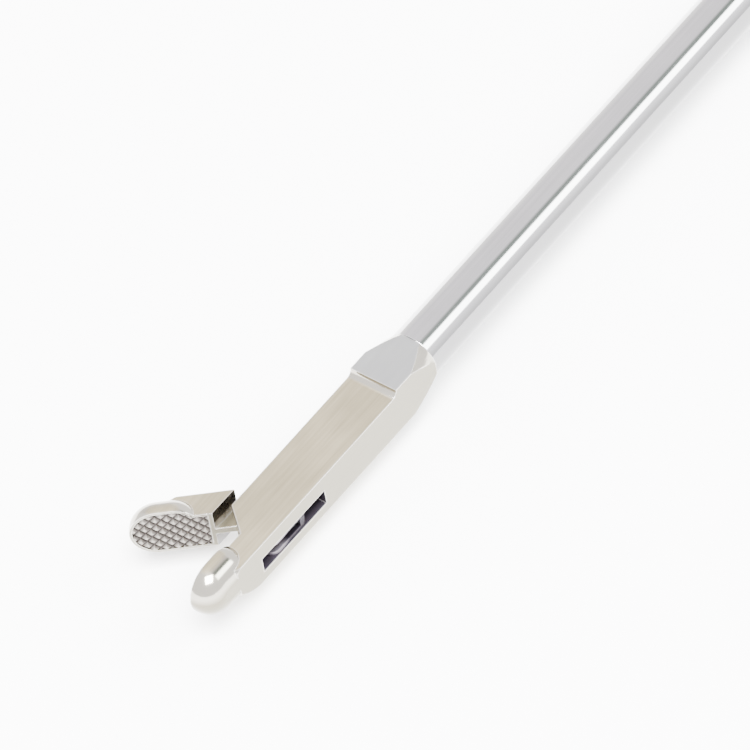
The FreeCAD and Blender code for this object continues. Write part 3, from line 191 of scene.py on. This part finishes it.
# Linear colours and lengths in metres
looks = {
    "satin_steel": {"grain": (2600, 2600, 2600), "rough": (0.30, 0.40), "dark": (0.165, 0.162, 0.158),
                    "light": (0.235, 0.231, 0.224), "bright": (0.60, 0.59, 0.57), "wearAndHighlight": 0.5, "edge": 0.0003,
                    "relief": 0.25, "depth": 0.00004, "metal": 1.0},
    # Polished steel: sides and undersides take a darker painted-shade tone (side)
    "polished_steel": {"grain": (60, 2400, 2400), "rough": (0.07, 0.13), "dark": (0.40, 0.395, 0.40),
                       "light": (0.46, 0.455, 0.46), "bright": (0.9, 0.9, 0.9), "wearAndHighlight": 0.3, "edge": 0.0001,
                       "side": (0.19, 0.188, 0.19), "lower": (0.75, 0.45), "relief": 0.05, "depth": 0.00001,
                       "metal": 1.0},
    # Milled steel: rounded faces (round) and sides (side) take darker painted-shade tones
    "milled_steel": {"grain": (140, 4200, 4200), "rough": (0.28, 0.38), "dark": (0.345, 0.30, 0.20),
                     "light": (0.43, 0.375, 0.255), "bright": (0.80, 0.79, 0.77), "wearAndHighlight": 0.6, "edge": 0.0002,
                     "relief": 0.12, "depth": 0.00002, "metal": 1.0, "polish": 0.14, "collar": 0.3266,
                     # The inner tone is painted shade for the inside of the window, whose box is given below
                     "collarTone": (0.36, 0.366, 0.362), "inner": (0.05, 0.042, 0.056), "innerRough": 0.5,
                     "window": ((0.3371, 0.3461), (0.00012, 0.00241), (0.00345, 0.00515)),
                     "side": (0.16, 0.147, 0.113), "round": (0.31, 0.29, 0.25), "lower": (0.3, 0.08)},
    # Rod steel's near-black tone is painted shade, standing for the rod in the window's shadow
    "rod_steel": {"grain": (80, 3000, 3000), "rough": (0.48, 0.60), "dark": (0.045, 0.038, 0.05),
                  "light": (0.09, 0.078, 0.096), "bright": (0.12, 0.11, 0.12), "wearAndHighlight": 0.1, "edge": 0.0001,
                  "relief": 0.1, "depth": 0.00002, "metal": 1.0},
    "spring_steel": {"grain": (1500, 1500, 1500), "rough": (0.25, 0.35), "dark": (0.30, 0.30, 0.33),
                     "light": (0.42, 0.42, 0.45), "bright": (0.7, 0.7, 0.7), "wearAndHighlight": 0.5, "edge": 0.0001,
                     "relief": 0.1, "depth": 0.00002, "metal": 1.0},
    "carbide": {"grain": (3800, 3800, 3800), "rough": (0.34, 0.46), "dark": (0.178, 0.162, 0.144),
                "light": (0.25, 0.23, 0.206), "bright": (0.60, 0.58, 0.55), "wearAndHighlight": 0.6, "edge": 0.00005,
                "relief": 0.3, "depth": 0.00003, "metal": 0.9},
    "bush_polymer": {"grain": (2000, 2000, 2000), "rough": (0.45, 0.6), "dark": (0.72, 0.70, 0.64),
                     "light": (0.82, 0.80, 0.75), "bright": (0.88, 0.87, 0.83), "wearAndHighlight": 0.3, "edge": 0.0001,
                     "relief": 0.1, "depth": 0.00002, "metal": 0.0},
    "seal_rubber": {"grain": (1800, 1800, 1800), "rough": (0.5, 0.7), "dark": (0.015, 0.015, 0.016),
                    "light": (0.035, 0.035, 0.036), "bright": (0.08, 0.08, 0.08), "wearAndHighlight": 0.3, "edge": 0.0001,
                    "relief": 0.2, "depth": 0.00002, "metal": 0.0},
}
materials = {name: makeMetal(name, look) for name, look in looks.items()}
print("materials made")


# Pieces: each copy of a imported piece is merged, its edges are broken, and it is shaded smooth

def selectOnly(piece):
    bpy.ops.object.select_all(action="DESELECT")
    piece.select_set(True)
    bpy.context.view_layer.objects.active = piece


copying = {"merge": 1e-6, "flatten": 0.4, "crease": 32, "steps": 2, "weight": 80}   # angles in degrees


def dress(node, name, softEdge):                              # softEdge in millimetres
    source = nodes[node]
    piece = source.copy()
    piece.data = source.data.copy()
    piece.name = name
    piece.data.name = name
    for key in list(piece.keys()):
        del piece[key]
    bpy.context.scene.collection.objects.link(piece)
    piece.parent = None
    piece.matrix_world = Matrix.Identity(4)
    selectOnly(piece)
    bpy.ops.object.mode_set(mode="EDIT")
    bpy.ops.mesh.select_all(action="SELECT")
    bpy.ops.mesh.remove_doubles(threshold=copying["merge"])
    bpy.ops.mesh.dissolve_limited(angle_limit=radians(copying["flatten"]))
    bpy.ops.mesh.normals_make_consistent(inside=False)
    bpy.ops.object.mode_set(mode="OBJECT")
    if piece.data.has_custom_normals:
        bpy.ops.mesh.customdata_custom_splitnormals_clear()
    if softEdge:
        bevel = piece.modifiers.new("softEdge", "BEVEL")
        bevel.limit_method = "ANGLE"
        bevel.angle_limit = radians(copying["crease"])
        bevel.width = softEdge * millimetre
        bevel.segments = copying["steps"]
        bpy.ops.object.modifier_apply(modifier="softEdge")
    bpy.ops.object.shade_smooth_by_angle(angle=radians(copying["crease"]))
    even = piece.modifiers.new("evenNormals", "WEIGHTED_NORMAL")
    even.keep_sharp = True
    even.weight = copying["weight"]
    bpy.ops.object.modifier_apply(modifier="evenNormals")
    piece.data.materials.clear()
    piece.data.materials.append(materials[slotOf[node]])
    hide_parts(node)
    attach(piece, bodyOf[node])
    return piece


softEdges = {
    "jaw_head": ("jawHead", 0.1), "moving_jaw": ("movingJaw", 0.08),
    "fixed_jaw_insert": ("fixedJawInsert", 0.0), "moving_jaw_insert": ("movingJawInsert", 0.0),
    "jaw_pivot_pin": ("jawPivotPin", 0.05), "drive_pin": ("drivePin", 0.04),
    "pull_rod": ("pullRod", 0.02), "rod_barrel_nut": ("rodBarrelNut", 0.2),
    "shaft_tube": ("shaftTube", 0.05), "rod_guide_bush": ("rodGuideBush", 0.05),
    "rear_rod_bush": ("rearRodBush", 0.05), "rod_seal": ("rodSeal", 0.1), "union_nut": ("unionNut", 0.2),
    "flush_port": ("flushPort", 0.15), "handle_body": ("handleBody", 0.5), "top_cover": ("topCover", 0.3),
    "cover_screws": ("coverScrews", 0.1), "thumb_lever": ("thumbLever", 0.5),
    "lever_pivot_screw": ("leverPivotScrew", 0.2), "ratchet_rack": ("ratchetRack", 0.08),
    "rack_rivets": ("rackRivets", 0.15), "ratchet_pawl": ("ratchetPawl", 0.2),
    "pawl_pin": ("pawlPin", 0.15), "pawl_spring": ("pawlSpring", 0.03),
}
pieces = {name: dress(node, name, width) for node, (name, width) in softEdges.items()}

# Painted shade: the toothed faces darken towards the bottoms of their grooves

opening = radians(50)                                         # the moving jaw is drawn open by this angle
toothFaces = {"fixedJawInsert": (0.0, -1.0, 0.0), "movingJawInsert": (sin(opening), cos(opening), 0.0)}
grooves = {"shade": (0.00006, 0.00020), "paintedShade": (0.06, 0.052, 0.048)}


def darkenDepths(name, face, look):                           # painted shade by depth, which counts from the piece's furthest point
    mesh = pieces[name].data
    level = max(corner.co.dot(Vector(face)) for corner in mesh.vertices)
    mesh.materials[0] = makeMetal(name + "Face", {**look, "face": face, "level": level})


for name, face in toothFaces.items():
    darkenDepths(name, face, {**looks["carbide"], **grooves})

# Painted shade: the fork is dark behind its front end

paintedForkShade = {"dark": (0.09, 0.08, 0.09), "light": (0.16, 0.145, 0.165), "face": (-1.0, 0.0, 0.0), "level": 0.0,
            "shade": (0.3431, 0.3422), "paintedShade": (0.018, 0.015, 0.021)}
pieces["pullRod"].data.materials[0] = makeMetal("forkSteel", {**looks["rod_steel"], **paintedForkShade})

# Painted shade in the screw heads' slots

slots = {"shade": (0.0001, 0.0004), "paintedShade": (0.05, 0.05, 0.05)}
screwFaces = {"leverPivotScrew": (0.0, 0.0, 1.0), "coverScrews": (0.0, -1.0, 0.0)}
for name, face in screwFaces.items():
    darkenDepths(name, face, {**looks["polished_steel"], **slots})

# Knurled band round the nut: a ring with every other point pressed in

knurl = {"low": 0.0451, "high": 0.0499, "columns": 76, "rows": 12, "rise": 0.00017, "groove": 0.00015,
         "rim": 0.00003, "inner": 0.0005, "axisHeight": 0.005, "smooth": 12}
knurlLength = knurl["high"] - knurl["low"]
rowPitch = knurlLength / knurl["rows"]
fullTurn = radians(360)
axisMiddle = Vector(((knurl["low"] + knurl["high"]) / 2, 0, knurl["axisHeight"]))


def offAxis(point):
    return Vector((0, point.y, point.z - knurl["axisHeight"])).length


def resizeRound(mesh, chosen, factor):                        # chosen points move towards the nut's axis
    bpy.ops.object.mode_set(mode="EDIT")
    bpy.ops.mesh.select_mode(type="VERT")
    bpy.ops.mesh.select_all(action="DESELECT")
    bpy.ops.object.mode_set(mode="OBJECT")
    for index in chosen:
        mesh.vertices[index].select = True
    bpy.ops.object.mode_set(mode="EDIT")
    bpy.ops.transform.resize(value=(1, factor, factor), center_override=axisMiddle)
    bpy.ops.object.mode_set(mode="OBJECT")


nutRadius = max(offAxis(point.co) for point in pieces["unionNut"].data.vertices)
crest = nutRadius + knurl["rise"]
bpy.ops.object.select_all(action="DESELECT")
bpy.ops.mesh.primitive_cylinder_add(vertices=knurl["columns"], radius=crest, depth=knurlLength,
                                    end_fill_type="NOTHING", location=axisMiddle, rotation=(0, radians(90), 0))
ring = bpy.context.object
ring.name = "nutKnurl"
bpy.ops.object.transform_apply(location=True, rotation=True, scale=True)
bpy.ops.object.mode_set(mode="EDIT")
bpy.ops.mesh.select_mode(type="EDGE")
bpy.ops.mesh.select_all(action="DESELECT")
bpy.ops.object.mode_set(mode="OBJECT")
for edge in ring.data.edges:
    first, second = (ring.data.vertices[index].co for index in edge.vertices)
    edge.select = abs(first.x - second.x) > knurlLength / 2
bpy.ops.object.mode_set(mode="EDIT")
bpy.ops.mesh.subdivide(number_cuts=knurl["rows"] - 1)
bpy.ops.object.mode_set(mode="OBJECT")


def cellOf(point):                                            # column round the axis, row along it
    column = atan2(point.co.z - knurl["axisHeight"], point.co.y) / fullTurn * knurl["columns"]
    return round(column * 2) // 2, round((point.co.x - knurl["low"]) / rowPitch)


cells = {point.index: cellOf(point) for point in ring.data.vertices}
ends = [index for index, (_, row) in cells.items() if row in (0, knurl["rows"])]
pressed = [index for index, (column, row) in cells.items() if (column + row) % 2 and index not in ends]
resizeRound(ring.data, pressed, 1 - knurl["groove"] / crest)
bpy.ops.object.mode_set(mode="EDIT")
bpy.ops.mesh.vert_connect()                                   # valleys run from one pressed point to the next
bpy.ops.object.mode_set(mode="OBJECT")
resizeRound(ring.data, ends, (nutRadius - knurl["rim"]) / crest)
bpy.ops.object.mode_set(mode="EDIT")
bpy.ops.mesh.select_mode(type="EDGE")
bpy.ops.mesh.select_all(action="SELECT")
bpy.ops.mesh.region_to_loop()
bpy.ops.mesh.extrude_edges_move()
inward = 1 - knurl["inner"] / nutRadius
bpy.ops.transform.resize(value=(1, inward, inward), center_override=axisMiddle)
bpy.ops.mesh.bridge_edge_loops()
bpy.ops.mesh.select_all(action="SELECT")
bpy.ops.mesh.normals_make_consistent(inside=False)
bpy.ops.object.mode_set(mode="OBJECT")
bpy.ops.object.shade_smooth_by_angle(angle=radians(knurl["smooth"]))
ring.data.materials.append(materials["polished_steel"])
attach(ring, "handle")
print("nut knurled")

# Painted shade: the moving jaw's rear wall darkens towards its top

paintedRearShade = {"face": (0.0, 0.0, -1.0), "level": 0.0, "shade": (0.0052, 0.0055), "paintedShade": (0.035, 0.03, 0.028)}
rearWall = {"facing": 0.9, "outside": -0.0025}                # the wall lies further out than the tang
jaw = pieces["movingJaw"]
jaw.data.materials.append(makeMetal("jawRear", {**looks["spring_steel"], **paintedRearShade}))
for face in jaw.data.polygons:
    if face.normal.y > rearWall["facing"] and face.center.y < rearWall["outside"]:
        face.material_index = 1
print("pieces dressed")

# Camera at the photograph's angle: a long lens, turned a little about its own axis

photo = {"azimuth": 135.8, "elevation": 48.8, "roll": 11.6, "distance": 1.4, "pixel": millimetre / 11.7,
         "side": 750, "anchor": Vector((0.3196, 0.0, 0.005)), "anchorAt": (425, 344), "sensor": 36,
         "clip": (0.05, 20)}
azimuth, elevation = radians(photo["azimuth"]), radians(photo["elevation"])
back = Vector((sin(azimuth) * cos(elevation), -cos(azimuth) * cos(elevation), sin(elevation)))
plainRight = Vector((0, 0, 1)).cross(back).normalized()
plainUp = back.cross(plainRight)
roll = radians(photo["roll"])
right = cos(roll) * plainRight - sin(roll) * plainUp
up = sin(roll) * plainRight + cos(roll) * plainUp
offRight = (photo["side"] / 2 - photo["anchorAt"][0]) * photo["pixel"]
offUp = (photo["anchorAt"][1] - photo["side"] / 2) * photo["pixel"]
aim = photo["anchor"] + right * offRight + up * offUp
lens = bpy.data.cameras.new("photoCamera")
camera = bpy.data.objects.new("photoCamera", lens)
bpy.context.scene.collection.objects.link(camera)
spot = aim + back * photo["distance"]
camera.matrix_world = Matrix(((right.x, up.x, back.x, spot.x), (right.y, up.y, back.y, spot.y),
                              (right.z, up.z, back.z, spot.z), (0, 0, 0, 1)))
lens.sensor_width = photo["sensor"]
lens.lens = lens.sensor_width * photo["distance"] / (photo["side"] * photo["pixel"])
lens.clip_start, lens.clip_end = photo["clip"]
bpy.context.scene.camera = camera

# Pale floor and soft light

ground = {"size": 6.0, "middle": (0.2, 0, -0.0001), "dark": (0.93, 0.93, 0.93), "light": (0.96, 0.96, 0.96),
          "clouds": 12.0, "detail": 2.0, "rough": 0.9, "shine": 0.1}
bpy.ops.mesh.primitive_plane_add(size=ground["size"], location=ground["middle"])
floor = bpy.context.object
floor.name = "floor"
paper = bpy.data.materials.new("paper")
paper.use_nodes = True
paperTree = paper.node_tree
paperShader = paperTree.nodes["Principled BSDF"]
paperNoise = addNode(paperTree, "ShaderNodeTexNoise", {"Scale": ground["clouds"], "Detail": ground["detail"]})
paperTint = blend(paperTree, paperNoise.outputs["Fac"], ground["dark"], ground["light"])
paperTree.links.new(paperTint, paperShader.inputs["Base Color"])
paperShader.inputs["Roughness"].default_value = ground["rough"]
paperShader.inputs["Specular IOR Level"].default_value = ground["shine"]
floor.data.materials.append(paper)

key = {"spot": Vector((0.9, 0.6, 1.95)), "target": Vector((0.3, 0, 0)), "size": (1.2, 1.2), "power": 420}
light = bpy.data.lights.new("keyLight", "AREA")
light.shape = "RECTANGLE"
light.size, light.size_y = key["size"]
light.energy = key["power"]
holder = bpy.data.objects.new("keyLight", light)
bpy.context.scene.collection.objects.link(holder)
holder.location = key["spot"]
holder.rotation_euler = (key["target"] - key["spot"]).to_track_quat("-Z", "Y").to_euler()

# Soft surroundings that run along the shaft, by the angle in degrees from +Y up to -Y: a grey room,
# a bright window and a dark gap. They show only where the heading's X part is near the given one.
room = {"lightGrey": (4.2, 4.2, 4.3), "window": (24.0, 25.0, 24.5), "gap": (0.75, 0.88, 0.80),
        "lilac": (2.9, 2.8, 2.9), "far": (4.0, 3.9, 3.8)}
bandSide = {"heading": -0.46, "fade": (0.24, 0.34)}
halfTurn = 180                                                # degrees
bands = [(0, "lightGrey"), (36, "lightGrey"), (39, "window"), (58, "window"), (63, "gap"), (74, "gap"),
         (84, "lilac"), (150, "lilac"), (180, "far")]
world = bpy.data.worlds.new("studio")
bpy.context.scene.world = world
world.use_nodes = True
sky = world.node_tree
background = sky.nodes["Background"]
heading = addNode(sky, "ShaderNodeTexCoord").outputs["Generated"]
facing = addNode(sky, "ShaderNodeSeparateXYZ", {0: heading})
angle = addNode(sky, "ShaderNodeMath", {0: facing.outputs["Z"], 1: facing.outputs["Y"]},
                operation="ARCTAN2").outputs[0]
turn = span(sky, angle, 0.0, radians(halfTurn))
ramp = addNode(sky, "ShaderNodeValToRGB", {0: turn})
stops = ramp.color_ramp.elements
while len(stops) < len(bands):
    stops.new(0.5)
brightest = max(room["window"])
tones = {band: tuple(value / brightest for value in tone) for band, tone in room.items()}
for stop, (degrees, _) in zip(stops, bands):
    stop.position = degrees / halfTurn
for stop, (_, band) in zip(stops, bands):
    stop.color = (*tones[band], 1)
offSide = maths(sky, "ABSOLUTE", maths(sky, "ADD", facing.outputs["X"], -bandSide["heading"]))
plainRoom = blend(sky, span(sky, offSide, *bandSide["fade"]), ramp.outputs["Color"], tones["lightGrey"])
sky.links.new(plainRoom, background.inputs["Color"])
background.inputs["Strength"].default_value = brightest
print("camera, floor and light made")
